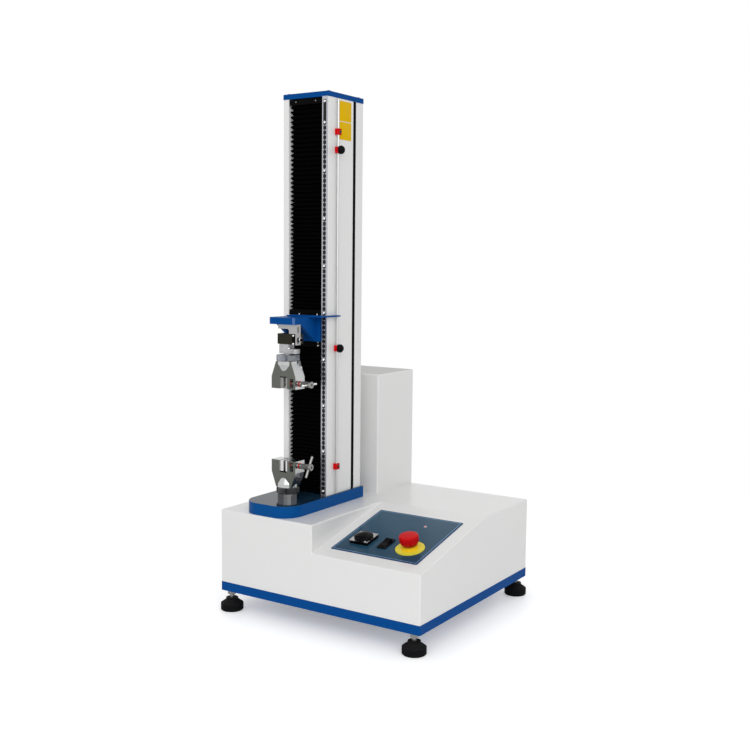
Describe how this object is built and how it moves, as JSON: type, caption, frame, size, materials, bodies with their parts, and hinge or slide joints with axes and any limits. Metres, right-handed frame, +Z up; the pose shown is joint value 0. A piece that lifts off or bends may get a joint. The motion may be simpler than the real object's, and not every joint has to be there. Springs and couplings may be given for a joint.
{
  "type": "universal testing machine",
  "caption": "Desktop single-column testing machine: sloped control desk, screw-driven crosshead with load cell, two vice grips, limit stops.",
  "frame": {"origin": "on the floor at the centre of the base's width and depth (the feet's centre lines cross there)", "axes": "+X to the right as seen by the operator, -Y towards the operator, +Z up"},
  "size_m": [0.511, 0.499, 1.11],
  "materials": {
    "white_paint": "satin white powder coat",
    "blue_paint": "glossy mid-blue paint",
    "panel_blue": "glossy dark blue panel",
    "polished_steel": "polished steel",
    "bright_steel": "ground steel",
    "machined_aluminium": "machined aluminium",
    "cell_steel": "dark nickel-plated steel",
    "cast_frame": "grey primer",
    "pleated_cloth": "black coated cloth",
    "black_rubber": "moulded black rubber with zinc-plated hardware",
    "belt_rubber": "toothed rubber belt",
    "red_plastic": "glossy red plastic",
    "yellow_plastic": "yellow plastic",
    "black_plastic": "moulded black plastic",
    "motor_paint": "black motor paint",
    "circuit_board": "green circuit board"
  },
  "bodies": {
    "base": {"base_tray": "blue_paint", "base_cover": "white_paint", "control_panel": "panel_blue", "bed_frame": "cast_frame", "column_plate": "blue_paint", "column_profile": "white_paint", "column_cap": "blue_paint", "scale_rail": "machined_aluminium", "bellows_upper": "pleated_cloth", "bellows_lower": "pleated_cloth", "guide_rods": "bright_steel", "bearing_blocks": "machined_aluminium", "motor": "motor_paint", "timing_belt": "belt_rubber", "motor_housing": "white_paint", "estop_disc": "yellow_plastic", "estop_body": "yellow_plastic", "selector_plate": "black_plastic", "rocker_bezel": "black_plastic", "controller_board": "circuit_board", "servo_drive": "cast_frame", "power_inlet": "black_plastic", "rod_clamps": "red_plastic", "lower_adapter": "polished_steel", "lower_grip_body": "polished_steel", "lower_fixed_jaw": "bright_steel"},
    "front_left_foot": {"foot_front_left": "black_rubber"},
    "front_right_foot": {"foot_front_right": "black_rubber"},
    "rear_left_foot": {"foot_rear_left": "black_rubber"},
    "rear_right_foot": {"foot_rear_right": "black_rubber"},
    "drive_screw": {"ball_screw": "bright_steel", "screw_pulley": "machined_aluminium"},
    "motor_rotor": {"motor_pulley": "machined_aluminium"},
    "crosshead": {"crosshead_carriage": "machined_aluminium", "ball_nut": "bright_steel", "crosshead_arm": "blue_paint", "striker_plate": "blue_paint", "cell_bracket": "machined_aluminium", "load_cell": "cell_steel", "cell_foot": "machined_aluminium", "upper_grip_body": "polished_steel", "upper_fixed_jaw": "bright_steel"},
    "upper_ring": {"upper_lock_ring": "polished_steel"},
    "lower_ring": {"lower_lock_ring": "polished_steel"},
    "upper_jaw": {"upper_moving_jaw": "bright_steel"},
    "lower_jaw": {"lower_moving_jaw": "bright_steel"},
    "upper_clamp_screw": {"upper_grip_screw": "bright_steel", "upper_tommy_bar": "bright_steel"},
    "lower_clamp_screw": {"lower_grip_screw": "bright_steel", "lower_tommy_bar": "bright_steel"},
    "stop_rod": {"limit_rod": "bright_steel"},
    "upper_stop": {"stop_upper": "red_plastic"},
    "lower_stop": {"stop_lower": "red_plastic"},
    "upper_stop_knob": {"knob_upper": "black_plastic"},
    "lower_stop_knob": {"knob_lower": "black_plastic"},
    "button_stem": {"estop_stem": "black_plastic"},
    "button": {"estop_cap": "red_plastic"},
    "selector": {"selector_knob": "black_plastic"},
    "rocker": {"rocker_paddle": "black_plastic"}
  },
  "joints": [
    {"name": "screw_turn", "type": "hinge", "parent": "base", "child": "drive_screw", "pos_m": [-0.134, -0.031, 0.6], "axis": [0, 0, -1], "range_deg": [-1980, 12240]},
    {"name": "motor_turn", "type": "hinge", "parent": "base", "child": "motor_rotor", "pos_m": [-0.134, 0.16025, 0.2], "axis": [0, 0, -1], "range_deg": [-3970, 24490]},
    {"name": "crosshead_slide", "type": "slide", "parent": "base", "child": "crosshead", "axis": [0, 0, 1], "range_m": [-0.0552, 0.3402], "deforming": ["bellows_upper", "bellows_lower"]},
    {"name": "upper_jaw_slide", "type": "slide", "parent": "crosshead", "child": "upper_jaw", "axis": [-1, 0, 0], "range_m": [0, 0.005]},
    {"name": "upper_screw_turn", "type": "hinge", "parent": "upper_jaw", "child": "upper_clamp_screw", "pos_m": [-0.08, -0.153, 0.4958], "axis": [-1, 0, 0], "range_deg": [0, 1201]},
    {"name": "upper_ring_turn", "type": "hinge", "parent": "crosshead", "child": "upper_ring", "pos_m": [-0.134, -0.153, 0.5503], "axis": [0, 0, 1], "range_deg": [0, 90]},
    {"name": "lower_jaw_slide", "type": "slide", "parent": "base", "child": "lower_jaw", "axis": [-1, 0, 0], "range_m": [0, 0.005]},
    {"name": "lower_screw_turn", "type": "hinge", "parent": "lower_jaw", "child": "lower_clamp_screw", "pos_m": [-0.08, -0.153, 0.3195], "axis": [-1, 0, 0], "range_deg": [0, 1201]},
    {"name": "lower_ring_turn", "type": "hinge", "parent": "base", "child": "lower_ring", "pos_m": [-0.134, -0.153, 0.265], "axis": [0, 0, 1], "range_deg": [0, 90]},
    {"name": "stop_rod_slide", "type": "slide", "parent": "base", "child": "stop_rod", "axis": [0, 0, 1], "range_m": [-0.003, 0.003], "stiffness_N_per_m": 3000, "springref_m": 0.00055},
    {"name": "upper_stop_slide", "type": "slide", "parent": "stop_rod", "child": "upper_stop", "axis": [0, 0, 1], "range_m": [-0.25, 0.02]},
    {"name": "lower_stop_slide", "type": "slide", "parent": "stop_rod", "child": "lower_stop", "axis": [0, 0, 1], "range_m": [-0.2, 0.04]},
    {"name": "upper_knob_turn", "type": "hinge", "parent": "upper_stop", "child": "upper_stop_knob", "pos_m": [-0.06975, -0.0635, 0.99], "axis": [1, 0, 0], "range_deg": [0, 360]},
    {"name": "lower_knob_turn", "type": "hinge", "parent": "lower_stop", "child": "lower_stop_knob", "pos_m": [-0.06975, -0.0635, 0.568], "axis": [1, 0, 0], "range_deg": [0, 360]},
    {"name": "estop_press", "type": "slide", "parent": "base", "child": "button_stem", "axis": [0, 0.2197, -0.9756], "range_m": [0, 0.004], "stiffness_N_per_m": 200, "springref_m": -0.002},
    {"name": "estop_twist", "type": "hinge", "parent": "button_stem", "child": "button", "pos_m": [0.175, -0.15665, 0.20221], "axis": [0, -0.2197, 0.9756], "range_deg": [-45, 0], "stiffness_Nm_per_rad": 0.01, "springref_deg": 5.73},
    {"name": "selector_turn", "type": "hinge", "parent": "base", "child": "selector", "pos_m": [0.0625, -0.15202, 0.193], "axis": [0, -0.2197, 0.9756], "range_deg": [-90, 0]},
    {"name": "rocker_tip", "type": "hinge", "parent": "base", "child": "rocker", "pos_m": [0.1174, -0.1504, 0.17902], "axis": [-1, 0, 0], "range_deg": [0, 16]},
    {"name": "front_left_foot_height", "type": "slide", "parent": "base", "child": "front_left_foot", "axis": [0, 0, 1], "range_m": [-0.012, 0]},
    {"name": "front_right_foot_height", "type": "slide", "parent": "base", "child": "front_right_foot", "axis": [0, 0, 1], "range_m": [-0.012, 0]},
    {"name": "rear_left_foot_height", "type": "slide", "parent": "base", "child": "rear_left_foot", "axis": [0, 0, 1], "range_m": [-0.012, 0]},
    {"name": "rear_right_foot_height", "type": "slide", "parent": "base", "child": "rear_right_foot", "axis": [0, 0, 1], "range_m": [-0.012, 0]}
  ],
  "couplings": [
    {"joint": "crosshead_slide", "follows": "screw_turn", "m_per_rad": 0.0015915},
    {"joint": "motor_turn", "follows": "screw_turn", "ratio": 2},
    {"joint": "upper_screw_turn", "follows": "upper_jaw_slide", "rad_per_m": 4188.8},
    {"joint": "lower_screw_turn", "follows": "lower_jaw_slide", "rad_per_m": 4188.8}
  ]
}
